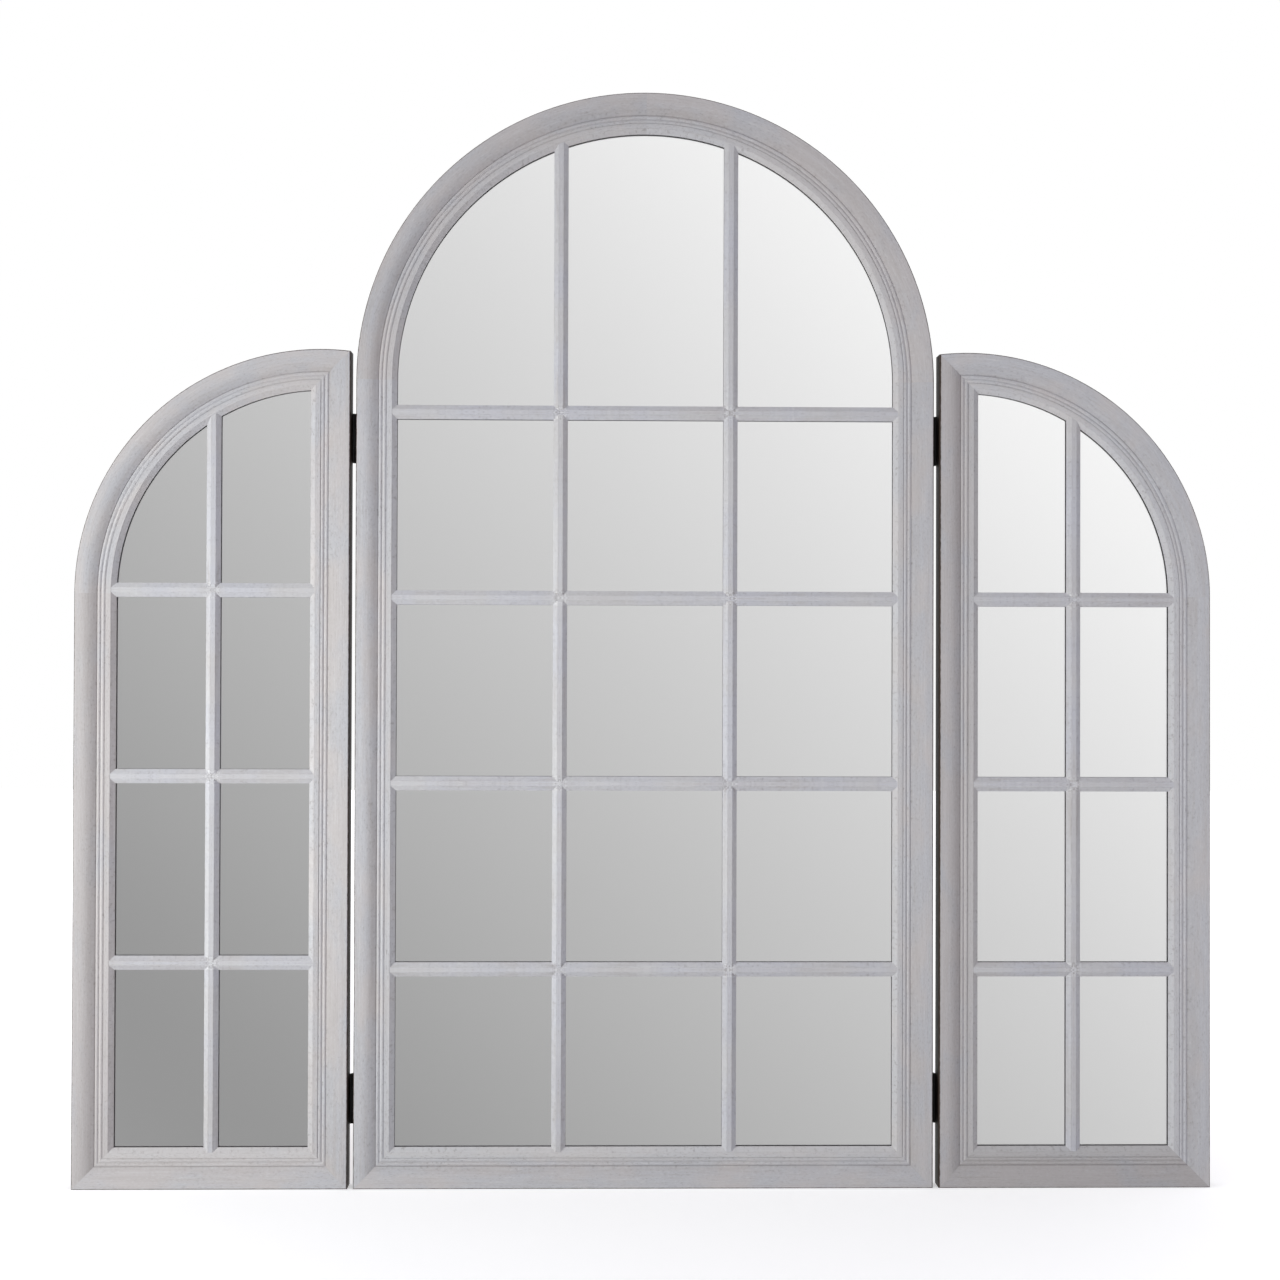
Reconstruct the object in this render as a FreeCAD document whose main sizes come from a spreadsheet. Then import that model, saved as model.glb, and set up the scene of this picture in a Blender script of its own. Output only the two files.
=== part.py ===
"""A triptych mirror: an arched centre panel and two quarter-arched wings hinged to its back.

Each panel is a mitred moulding that holds one sheet of mirror glass behind a lattice of bevelled bars.
The front faces -Y, +Z is up, and the origin is the middle of the underside of the centre bottom rail.
The right-hand pieces are modelled and the left-hand ones are their mirror images about the plane x = 0.
Only the bars of the left wing are their own, because its cross bars sit a little higher.
"""

import FreeCAD, Part
import math
import os

import Sketcher
from FreeCAD import Placement, Rotation, Vector

doc = FreeCAD.newDocument("triptych_mirror")

# Driving dimensions in millimetres and degrees
SIZES = {
    "centre_width": 591,
    "centre_height": 1120,
    "wing_width": 279,
    "wing_arch_radius": 250,
    "wing_springline": 605,
    "hinge_gap": 6,
    "arris_width": 1.2,
    "crown_flat_width": 7.5,
    "band_width": 21.8,
    "band_drop": 4.2,
    "bead_width": 3.8,
    "bead_rise": 0.9,
    "bead_gap": 0.5,
    "groove_depth": 0.9,
    "shelf_width": 5,
    "bevel_width": 5.1,
    "bevel_drop": 3.6,
    "lip_thickness": 1.6,
    "rebate_width": 8,
    "glass_thickness": 3,
    "glass_clearance": 1,
    "backing_thickness": 3,
    "backing_recess": 7,
    "bar_width": 14.5,
    "bar_crown_width": 5,
    "first_row_height": 222,
    "row_pitch": 190,
    "left_wing_row_lift": 6.8,
    "dowel_diameter": 6,
    "dowel_length": 20,
    "dowel_inset": 16,
    "dowel_depth": 9,
    "dowel_clearance": 0.05,
    "dowel_end_room": 0.5,
    "tab_width": 8,
    "tab_reach": 9,
    "tab_bite": 6,
    "tab_thickness": 0.6,
    "tab_clearance": 0.05,
    "arch_tab_angle": 45,
    "hinge_end_distance": 87,
    "hinge_length": 51,
    "hinge_leaf_width": 20,
    "hinge_leaf_thickness": 1.5,
    "hinge_axis_offset": 3,
    "knuckle_diameter": 5.8,
    "knuckle_clearance": 0.4,
    "knuckle_end_gap": 0.3,
    "pin_diameter": 2.5,
    "pin_clearance": 0.05,
    "hinge_screw_spacing": 30,
    "hinge_screw_offset": 12,
    "screw_head_diameter": 5.6,
    "screw_shank_diameter": 2.8,
    "screw_head_height": 1.4,
    "screw_length": 11,
    "screw_clearance": 0.05,
    "keyhole_drop": 84,
    "keyhole_plate_width": 20,
    "keyhole_plate_length": 48,
    "keyhole_plate_thickness": 1.6,
    "keyhole_entry_diameter": 9.5,
    "keyhole_slot_width": 5,
    "keyhole_slot_rise": 9,
    "keyhole_screw_spacing": 36,
    "keyhole_recess_margin": 1,
    "keyhole_recess_depth": 7,
}

# Formulas that several pieces share
BEAD_COUNT = 2
BEADS_WIDTH = f"({BEAD_COUNT} * (size.bead_width + size.bead_gap) + size.bead_gap)"
FRAME_WIDTH = f"(size.band_width + {BEADS_WIDTH} + size.shelf_width + size.bevel_width)"
REBATE_WALL = f"({FRAME_WIDTH} - size.rebate_width)"
REBATE_DEPTH = "(size.backing_recess + size.backing_thickness + size.glass_thickness)"
SIGHT_RISE = f"({REBATE_DEPTH} + size.lip_thickness)"
SHELF_RISE = f"({SIGHT_RISE} + size.bevel_drop)"
FRAME_DEPTH = f"({SHELF_RISE} + size.band_drop)"
BEVEL_SLOPE = "(size.bevel_drop / size.bevel_width)"
BACK = f"({FRAME_DEPTH} / 2)"
HALF_CENTRE = "(size.centre_width / 2)"
WING_INNER = f"({HALF_CENTRE} + size.hinge_gap)"
WING_OUTER = f"({WING_INNER} + size.wing_width)"
HINGE_AXIS = f"({HALF_CENTRE} + size.hinge_gap / 2)"
HINGE_DEPTH = f"({BACK} + size.hinge_axis_offset)"
CUT_REACH = f"(2 * {FRAME_WIDTH})"

# How a section drawn across and forward is turned to run along the object
RUN_UP = Rotation(Vector(0, 0, 1), 180)
RUN_DOWN = Rotation(Vector(1, 0, 0), 180)
RUN_RIGHT = Rotation(Vector(0, 0, 1), Vector(0, -1, 0), Vector(1, 0, 0), "XYZ")
INTO_THE_BACK = Rotation(Vector(0, 0, 1), 180)
FACING_FRONT = Rotation(Vector(1, 0, 0), 90)

# How a dowel leans from upright, towards the right
UPRIGHT = "0"
ACROSS_RIGHT_CORNER = "45"
LEVEL = "90"
ACROSS_LEFT_CORNER = "135"

# Which way a backing tab points, counted from the right
TO_THE_RIGHT = "0"
TO_THE_LEFT = "180"
DOWNWARD = "-90"

CENTRE_ROWS = 4
CENTRE_LIGHTS = 3
WING_ROWS = 3
KNUCKLE_COUNT = 3

# How a sketch numbers the points of an edge
START_INDEX = 1
END_INDEX = 2
CENTRE_INDEX = 3

# The members of a panel that hinges and hangers are screwed to
SCREWED_MEMBERS = ["hinge_stile", "arch"]

pieces = []


def make_sheet():
    sheet = doc.addObject("Spreadsheet::Sheet", "size")
    for row, (alias, value) in enumerate(SIZES.items(), start=1):
        sheet.set(f"A{row}", alias)
        sheet.set(f"B{row}", str(value))
        sheet.setAlias(f"B{row}", alias)
    doc.recompute()
    return sheet


def value_of(formula):
    return float(sheet.evalExpression(formula))


def bind(feature, formulas):
    for path, formula in formulas.items():
        feature.setExpression(path, formula)
    return feature


def place(feature, across="0", depth="0", height="0", turn=Rotation()):
    feature.Placement = Placement(Vector(), turn)
    formulas = {"Placement.Base.x": across, "Placement.Base.y": depth, "Placement.Base.z": height}
    return bind(feature, formulas)


def keep(feature, label):
    feature.Label = label
    pieces.append(feature)
    return feature


def arc_to(point, centre, held, clockwise=False):
    """A step of an outline along an arc. One coordinate of the centre is held, the ends settle the other."""
    return {"point": point, "centre": centre, "held": held, "clockwise": clockwise}


def line_to(*point):
    return {"point": point}


def hold(sketch, axis, edge, point, formula):
    """Ties one coordinate of an edge's point to the sizes."""
    kind = "Distance" + axis.upper()
    number = sketch.addConstraint(Sketcher.Constraint(kind, -1, 1, edge, point, value_of(formula)))
    sketch.setExpression(f"Constraints[{number}]", formula)


def draw(sketch, steps):
    """A closed outline. Each step leads to its point, and every point is tied to the sizes."""
    targets = [step["point"] for step in steps]
    corners = [Vector(value_of(across), value_of(up)) for across, up in targets]
    edges = []
    for index, step in enumerate(steps):
        first, last = corners[index - 1], corners[index]
        if "centre" not in step:
            edge = sketch.addGeometry(Part.LineSegment(first, last))
            edges.append((edge, START_INDEX, END_INDEX))
            continue
        centre = Vector(*[value_of(formula) for formula in step["centre"]])
        ends = (last, first) if step["clockwise"] else (first, last)
        angles = [math.atan2(end.y - centre.y, end.x - centre.x) for end in ends]
        circle = Part.Circle(centre, Vector(0, 0, 1), (first - centre).Length)
        edge = sketch.addGeometry(Part.ArcOfCircle(circle, *angles))
        turned = (edge, END_INDEX, START_INDEX) if step["clockwise"] else (edge, START_INDEX, END_INDEX)
        edges.append(turned)
        hold(sketch, step["held"], edge, CENTRE_INDEX, step["centre"]["xy".index(step["held"])])
    for index, (edge, start, finish) in enumerate(edges):
        edge_before, _, finish_before = edges[index - 1]
        sketch.addConstraint(Sketcher.Constraint("Coincident", edge_before, finish_before, edge, start))
        for axis, formula in zip("xy", targets[index]):
            hold(sketch, axis, edge, finish, formula)
    return sketch


def section(name, steps):
    return draw(doc.addObject("Sketcher::SketchObject", name), steps)


def slab(name, steps, rear, thickness):
    """A body whose outline is drawn in the front view and padded forward from its rear face."""
    body = doc.addObject("PartDesign::Body", name)
    sketch = body.newObject("Sketcher::SketchObject", name + "_outline")
    front_plane = next(item for item in body.Origin.OriginFeatures if item.Role == "XZ_Plane")
    sketch.AttachmentSupport = [(front_plane, "")]
    sketch.MapMode = "FlatFace"
    draw(sketch, steps)
    pad = body.newObject("PartDesign::Pad", name + "_pad")
    pad.Profile = sketch
    bind(pad, {"Length": thickness})
    return place(body, depth=rear)


def run(name, profile, length):
    """A profile drawn out to a straight length."""
    piece = doc.addObject("Part::Extrusion", name)
    piece.Base = profile
    piece.DirMode = "Custom"
    piece.Dir = Vector(0, 0, 1)
    piece.Solid = True
    return bind(piece, {"LengthFwd": length})


def swing(name, profile, radius, angle):
    """A profile turned about an axis that lies a radius inward of the profile's outer edge."""
    piece = doc.addObject("Part::Revolution", name)
    piece.Source = profile
    piece.Axis = Vector(0, 1, 0)
    piece.Solid = True
    return bind(piece, {"Base.x": radius, "Angle": angle})


def rod(name, diameter, length):
    piece = doc.addObject("Part::Cylinder", name)
    return bind(piece, {"Radius": f"({diameter}) / 2", "Height": length})


def block(name, length, width, height):
    return bind(doc.addObject("Part::Box", name), {"Length": length, "Width": width, "Height": height})


def joined(name, shapes):
    if len(shapes) == 1:
        return shapes[0]
    fuse = doc.addObject("Part::MultiFuse", name)
    fuse.Shapes = shapes
    fuse.Refine = True
    return fuse


def cut_by(name, base, tools):
    cut = doc.addObject("Part::Cut", name)
    cut.Base = base
    cut.Tool = joined(name + "_tools", tools)
    cut.Refine = True
    return cut


def within(name, base, limit):
    common = doc.addObject("Part::Common", name)
    common.Base = base
    common.Tool = limit
    common.Refine = True
    return common


def group(name, shapes):
    compound = doc.addObject("Part::Compound", name)
    compound.Links = shapes
    return compound


def mirrored(source):
    twin = doc.addObject("Part::Mirroring", source.Name + "_mirrored")
    twin.Source = source
    twin.Normal = Vector(1, 0, 0)
    return twin


def both_sides(features):
    return features + [mirrored(feature) for feature in features]


def keep_pair(feature, label):
    """Keeps a right-hand piece and its left-hand mirror image. The label has a place for the side."""
    keep(feature, label.format(side="right"))
    keep(mirrored(feature), label.format(side="left"))


sheet = make_sheet()


# Sections


def moulding_section():
    """The frame's profile: across from the outer edge, forward from the back."""
    band_fall = "(size.band_width - size.crown_flat_width)"
    band_radius = f"(({band_fall}^2 + size.band_drop^2) / (2 * size.band_drop))"
    band_middle = ("size.crown_flat_width", f"{FRAME_DEPTH} - {band_radius}")
    groove_floor = f"({SHELF_RISE} - size.groove_depth)"
    bead_radius = "((size.bead_width^2 / 4 + size.bead_rise^2) / (2 * size.bead_rise))"
    steps = [
        line_to("0", "0"),
        line_to("0", f"{FRAME_DEPTH} - size.arris_width"),
        line_to("size.arris_width", FRAME_DEPTH),
        line_to("size.crown_flat_width", FRAME_DEPTH),
        arc_to(("size.band_width", SHELF_RISE), band_middle, "x", clockwise=True),
        line_to("size.band_width + size.bead_gap", groove_floor),
    ]
    for number in range(BEAD_COUNT):
        start = f"(size.band_width + size.bead_gap + {number} * (size.bead_width + size.bead_gap))"
        middle = (f"{start} + size.bead_width / 2", f"{groove_floor} + size.bead_rise - {bead_radius}")
        steps.append(arc_to((f"{start} + size.bead_width", groove_floor), middle, "y", clockwise=True))
        steps.append(line_to(f"{start} + size.bead_width + size.bead_gap", groove_floor))
    steps += [
        line_to(f"size.band_width + {BEADS_WIDTH}", SHELF_RISE),
        line_to(f"{FRAME_WIDTH} - size.bevel_width", SHELF_RISE),
        line_to(FRAME_WIDTH, SIGHT_RISE),
        line_to(FRAME_WIDTH, REBATE_DEPTH),
        line_to(REBATE_WALL, REBATE_DEPTH),
        line_to(REBATE_WALL, "0"),
    ]
    return section("moulding_section", steps)


def bar_base_section():
    """The lower part of a bar, square-sided, from the glass to the foot of the bevels."""
    side = "size.bar_width / 2"
    return section(
        "bar_base_section",
        [
            line_to(f"-{side}", REBATE_DEPTH),
            line_to(side, REBATE_DEPTH),
            line_to(side, SIGHT_RISE),
            line_to(f"-{side}", SIGHT_RISE),
        ],
    )


def bar_cap_section():
    """The upper part of a bar, whose bevels have the slope of the frame's inner bevel."""
    side = "size.bar_width / 2"
    crown = "size.bar_crown_width / 2"
    rise = f"{SIGHT_RISE} + (size.bar_width - size.bar_crown_width) / 2 * {BEVEL_SLOPE}"
    return section(
        "bar_cap_section",
        [
            line_to(f"-{side}", SIGHT_RISE),
            line_to(side, SIGHT_RISE),
            line_to(crown, rise),
            line_to(f"-{crown}", rise),
        ],
    )


def screw_section(name, clearance):
    """Half a countersunk screw: outward from its axis, inward from the face of its head."""
    shank = f"size.screw_shank_diameter / 2 + {clearance}"
    return section(
        name,
        [
            line_to("0", "0"),
            line_to(f"size.screw_head_diameter / 2 + {clearance}", "0"),
            line_to(shank, f"size.screw_head_height + {clearance}"),
            line_to(shank, f"size.screw_length + {clearance}"),
            line_to("0", f"size.screw_length + {clearance}"),
        ],
    )


moulding = moulding_section()
bar_base = bar_base_section()
bar_cap = bar_cap_section()
screw_half = screw_section("screw_half_section", "0")
screw_hole_half = screw_section("screw_hole_half_section", "size.screw_clearance")


# Panel outlines, mitres and openings


class Panel:
    """The outer edges of a panel in the front view. The arch springs from the right-hand edge."""

    def __init__(self, name, left, right, springline, radius):
        self.name = name
        self.left = left
        self.right = right
        self.springline = springline
        self.radius = radius
        self.arch_middle = f"({right} - {radius})"

    def top_at(self, inset):
        """How high the arch, set in by an inset, meets the left-hand edge that is set in as much."""
        across = f"({self.left} + {inset} - {self.arch_middle})"
        return f"({self.springline} + sqrt(({self.radius} - {inset})^2 - {across}^2))"

    def outline(self, inset):
        left = f"{self.left} + {inset}"
        right = f"{self.right} - {inset}"
        arch = arc_to((left, self.top_at(inset)), (self.arch_middle, self.springline), "y")
        return [line_to(left, inset), line_to(right, inset), line_to(right, self.springline), arch]


centre_springline = f"(size.centre_height - {HALF_CENTRE})"
centre = Panel("centre", f"(-{HALF_CENTRE})", HALF_CENTRE, centre_springline, HALF_CENTRE)
wing = Panel("wing", WING_INNER, WING_OUTER, "size.wing_springline", "size.wing_arch_radius")
lower_hinge = "size.hinge_end_distance"
upper_hinge = f"({wing.top_at('0')} - size.hinge_end_distance)"


def wedge(name, corners):
    """A prism through the frame's whole depth that takes one side of a mitre away."""
    return slab(name, [line_to(*corner) for corner in corners], FRAME_DEPTH, f"2 * {FRAME_DEPTH}")


def bottom_mitre(name, edge, inward):
    """The two wedges of a bottom corner: what the upright loses and what the rail loses."""
    outside = f"{edge} - ({inward}) * {CUT_REACH}"
    inside = f"{edge} + ({inward}) * {CUT_REACH}"
    below = (outside, f"-{CUT_REACH}")
    above = (inside, CUT_REACH)
    upright_loss = wedge(name + "_under", [below, (inside, f"-{CUT_REACH}"), above])
    rail_loss = wedge(name + "_over", [below, above, (outside, CUT_REACH)])
    return upright_loss, rail_loss


def top_mitre(panel):
    """The two wedges where a wing's arch meets its inner stile, on the line between the two corners."""
    outer_top = panel.top_at("0")
    inner_top = panel.top_at(FRAME_WIDTH)
    outside = (f"{panel.left} - {FRAME_WIDTH}", f"2 * {outer_top} - {inner_top}")
    inside = (f"{panel.left} + 2 * {FRAME_WIDTH}", f"2 * {inner_top} - {outer_top}")
    high = f"{outer_top} + {CUT_REACH}"
    low = f"{inner_top} - {CUT_REACH}"
    stile_loss = wedge(panel.name + "_top_over", [outside, inside, (inside[0], high), (outside[0], high)])
    arch_loss = wedge(panel.name + "_top_under", [outside, (outside[0], low), (inside[0], low), inside])
    return stile_loss, arch_loss


def opening(panel):
    """The space inside the sight edge and the inner bevel, which the bars are fitted to."""
    foot = panel.outline(FRAME_WIDTH)
    rim = panel.outline(f"({FRAME_WIDTH} - size.bevel_width)")
    straight = slab(panel.name + "_sight", foot, f"{BACK} - {REBATE_DEPTH}", "size.lip_thickness")
    flare = doc.addObject("Part::Loft", panel.name + "_flare")
    flare.Sections = [
        level_section(panel.name + "_bevel_foot", foot, SIGHT_RISE),
        level_section(panel.name + "_bevel_rim", rim, SHELF_RISE),
    ]
    flare.Solid = True
    flare.Ruled = True
    return joined(panel.name + "_opening", [straight, flare])


def level_section(name, steps, rise):
    """An outline in the front view that lies a rise in front of the back."""
    return place(section(name, steps), depth=f"{BACK} - {rise}", turn=FACING_FRONT)


# Small parts that repeat


class Fasteners:
    """The small parts of one panel, and the room that each of its frame members makes for them."""

    def __init__(self):
        self.solids = {}
        self.holes = {}

    def add(self, kind, solid, hole, members):
        self.solids.setdefault(kind, []).append(solid)
        self.make_room(hole, members)

    def make_room(self, hole, members):
        for member in members:
            self.holes.setdefault(member, []).append(hole)

    def fit_dowels(self, name, spots):
        for joint, (across, height, lean, members) in spots.items():
            peg, bore = dowel(f"{name}_{joint}_dowel", across, height, lean)
            self.add("frame_dowels", peg, bore, members)

    def fit_tabs(self, name, spots):
        for spot, (across, height, outward, member) in spots.items():
            tab, slot = backing_tab(f"{name}_{spot}_tab", across, height, outward)
            self.add("backing_tabs", tab, slot, [member])


def dowel(name, across, height, lean):
    """A dowel across a joint, leaning from upright towards the right, and the bore it sits in."""
    made = []
    for suffix, room, end_room in (("", "0", "0"), ("_bore", "size.dowel_clearance", "size.dowel_end_room")):
        length = f"(size.dowel_length + 2 * {end_room})"
        peg = rod(name + suffix, f"size.dowel_diameter + 2 * {room}", length)
        peg_across = f"{across} - {length} / 2 * sin({lean})"
        peg_height = f"{height} - {length} / 2 * cos({lean})"
        leaning = Rotation(Vector(0, 1, 0), value_of(lean))
        place(peg, peg_across, f"{BACK} - size.dowel_depth", peg_height, leaning)
        made.append(bind(peg, {"Placement.Rotation.Angle": lean}))
    return made


def backing_tab(name, across, height, outward):
    """A steel tab driven through the rebate's wall over the backing board, and its slot in the wood."""
    made = []
    for suffix, room in (("", "0"), ("_slot", "size.tab_clearance")):
        length = f"size.tab_reach + size.tab_bite + {room}"
        width = f"(size.tab_width + 2 * {room})"
        tab = block(name + suffix, length, f"size.tab_thickness + 2 * {room}", width)
        place(
            tab,
            f"{across} - size.tab_reach * cos({outward}) + {width} / 2 * sin({outward})",
            f"{BACK} - size.backing_recess - {room}",
            f"{height} - size.tab_reach * sin({outward}) - {width} / 2 * cos({outward})",
            Rotation(Vector(0, 1, 0), -value_of(outward)),
        )
        made.append(tab)
    return made


def screw(name, across, depth, height):
    """A countersunk screw driven forward into a back face, and its hole."""
    made = []
    for suffix, half in (("", screw_half), ("_hole", screw_hole_half)):
        turned = swing(name + suffix, half, "0", "360")
        made.append(place(turned, across, depth, height, INTO_THE_BACK))
    return made


# Hinges


def knuckle(name, diameter, low, high):
    return place(rod(name, diameter, f"{high} - ({low})"), HINGE_AXIS, HINGE_DEPTH, low)


def hinge(name, height, centre_parts, wing_parts):
    """A hinge on the backs of a stile of the centre and the inner stile of the right wing."""
    pitch = f"size.hinge_length / {KNUCKLE_COUNT}"
    foot = f"{height} - size.hinge_length / 2"
    levels = [f"({foot} + {step} * {pitch})" for step in range(KNUCKLE_COUNT + 1)]
    spans = list(zip(levels, levels[1:]))
    bore = knuckle(name + "_bore", "size.pin_diameter + 2 * size.pin_clearance", levels[0], levels[-1])
    leaves = {
        "fixed_leaf": (spans[0::2], spans[1::2], f"{HINGE_AXIS} - size.hinge_leaf_width", -1, centre_parts),
        "wing_leaf": (spans[1::2], spans[0::2], HINGE_AXIS, 1, wing_parts),
    }
    for leaf, (own_spans, other_spans, plate_across, side, parts) in leaves.items():
        leaf_name = f"{name}_{leaf}"
        plate = block(
            leaf_name + "_plate", "size.hinge_leaf_width", "size.hinge_leaf_thickness", "size.hinge_length"
        )
        solids = [place(plate, plate_across, BACK, levels[0])]
        for number, (low, high) in enumerate(own_spans):
            ends = (f"{low} + size.knuckle_end_gap / 2", f"{high} - size.knuckle_end_gap / 2")
            solids.append(knuckle(f"{leaf_name}_knuckle_{number}", "size.knuckle_diameter", *ends))
        losses = [bore]
        for number, (low, high) in enumerate(other_spans):
            clear = "size.knuckle_diameter + 2 * size.knuckle_clearance"
            losses.append(knuckle(f"{leaf_name}_notch_{number}", clear, low, high))
        for number, step in enumerate((-1, 1)):
            solid, hole = screw(
                f"{leaf_name}_screw_{number}",
                f"{HINGE_AXIS} + {side} * size.hinge_screw_offset",
                f"{BACK} + size.hinge_leaf_thickness",
                f"{height} + {step} * size.hinge_screw_spacing / 2",
            )
            losses.append(hole)
            parts.add("hinge_screws", solid, hole, SCREWED_MEMBERS)
        keep_pair(cut_by(leaf_name, joined(leaf_name + "_blank", solids), losses), f"{{side}}_{name}_{leaf}")
    pin = knuckle(name + "_pin", "size.pin_diameter", levels[0], levels[-1])
    keep_pair(pin, f"{{side}}_{name}_pin")


# Keyhole hanger


def keyhole_plate(parts):
    """A hanger plate with a keyhole, screwed over a recess in the back of a stile of the centre."""
    across = f"({HALF_CENTRE} - {REBATE_WALL} / 2)"
    height = f"({upper_hinge} - size.keyhole_drop)"
    rear = f"{BACK} + size.keyhole_plate_thickness"
    straight = "(size.keyhole_plate_length - size.keyhole_plate_width) / 2"
    ends = (f"{height} - {straight}", f"{height} + {straight}")
    outline = long_hole(across, *ends, "size.keyhole_plate_width")
    plate = slab("keyhole_plate_blank", outline, rear, "size.keyhole_plate_thickness")
    entry = f"({height} - size.keyhole_slot_rise / 2)"
    slot_end = f"({height} + size.keyhole_slot_rise / 2)"
    entry_bore = rod("keyhole_entry", "size.keyhole_entry_diameter", "size.keyhole_plate_thickness")
    slot_outline = long_hole(across, entry, slot_end, "size.keyhole_slot_width")
    losses = [
        place(entry_bore, across, rear, entry, FACING_FRONT),
        slab("keyhole_slot", slot_outline, rear, "size.keyhole_plate_thickness"),
    ]
    for number, step in enumerate((-1, 1)):
        screw_height = f"{height} + {step} * size.keyhole_screw_spacing / 2"
        solid, hole = screw(f"keyhole_screw_{number}", across, rear, screw_height)
        losses.append(hole)
        parts.add("keyhole_screws", solid, hole, SCREWED_MEMBERS)
    keep_pair(cut_by("keyhole_plate", plate, losses), "{side}_keyhole_plate")
    recess_width = "(size.keyhole_entry_diameter + 2 * size.keyhole_recess_margin)"
    recess_outline = long_hole(across, entry, slot_end, recess_width)
    recess = slab("keyhole_recess", recess_outline, BACK, "size.keyhole_recess_depth")
    parts.make_room(recess, SCREWED_MEMBERS)


def long_hole(across, low, high, width):
    """An upright outline with half-round ends about two middles."""
    left = f"{across} - {width} / 2"
    right = f"{across} + {width} / 2"
    return [
        line_to(right, high),
        arc_to((left, high), (across, high), "y"),
        line_to(left, low),
        arc_to((right, low), (across, low), "y"),
    ]


# Bars


def bar_blanks(name, length, across, height, turn):
    """The two parts of a bar, square-cut and longer than its opening."""
    made = []
    for part, profile in (("base", bar_base), ("cap", bar_cap)):
        made.append(place(run(f"{name}_{part}", profile, length), across, BACK, height, turn))
    return made


def lattice(title, panel, limit, uprights, rows):
    """Bars halved over each other: an upright runs through below, a cross bar runs through above."""
    top = f"({panel.springline} + {panel.radius})"
    upright_blanks = {}
    for name, across in uprights.items():
        upright_blanks[name] = bar_blanks(f"{title}_{name}", top, across, "0", RUN_UP)
    row_blanks = {}
    for number, height in enumerate(rows, start=1):
        name = f"cross_bar_{number}"
        row_blanks[name] = bar_blanks(
            f"{title}_{name}", f"{panel.right} - {panel.left}", panel.left, height, RUN_RIGHT
        )
    all_bases = [base for base, _ in upright_blanks.values()]
    all_caps = [cap for _, cap in row_blanks.values()]
    bars = {}
    for name, (base, cap) in upright_blanks.items():
        notched = cut_by(f"{title}_{name}_notched_cap", cap, all_caps)
        bars[name] = joined(f"{title}_{name}_bar", [base, notched])
    for name, (base, cap) in row_blanks.items():
        notched = cut_by(f"{title}_{name}_notched_base", base, all_bases)
        bars[name] = joined(f"{title}_{name}_bar", [notched, cap])
    return {name: within(f"{title}_{name}_fitted", bar, limit) for name, bar in bars.items()}


def row_heights(count, lift="0"):
    return [f"size.first_row_height + {row} * size.row_pitch + {lift}" for row in range(count)]


# Glass and backing


def sheets(panel):
    """The mirror glass against the rebate's ledge and the backing board behind it."""
    outline = panel.outline(f"({REBATE_WALL} + size.glass_clearance)")
    backing_rear = f"{BACK} - size.backing_recess"
    glass_rear = f"{backing_rear} - size.backing_thickness"
    glass = slab(panel.name + "_glass", outline, glass_rear, "size.glass_thickness")
    backing = slab(panel.name + "_backing", outline, backing_rear, "size.backing_thickness")
    return glass, backing


# Centre panel


def centre_fasteners(parts):
    in_stile = f"{HALF_CENTRE} - size.dowel_inset"
    wall = f"({HALF_CENTRE} - {REBATE_WALL})"
    arch_across = f"{wall} * cos(size.arch_tab_angle)"
    arch_height = f"{centre.springline} + {wall} * sin(size.arch_tab_angle)"
    second_row_up = "size.first_row_height + 2 * size.row_pitch"
    parts.fit_dowels(
        "centre",
        {
            "corner": (in_stile, "size.dowel_inset", ACROSS_RIGHT_CORNER, ["hinge_stile", "rail"]),
            "springing": (in_stile, centre.springline, UPRIGHT, ["hinge_stile", "arch"]),
        },
    )
    parts.fit_tabs(
        "centre",
        {
            "low": (wall, "size.first_row_height", TO_THE_RIGHT, "hinge_stile"),
            "high": (wall, second_row_up, TO_THE_RIGHT, "hinge_stile"),
            "rail": (f"{HALF_CENTRE} / 2", REBATE_WALL, DOWNWARD, "rail"),
            "arch": (arch_across, arch_height, "size.arch_tab_angle", "arch"),
        },
    )


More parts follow.
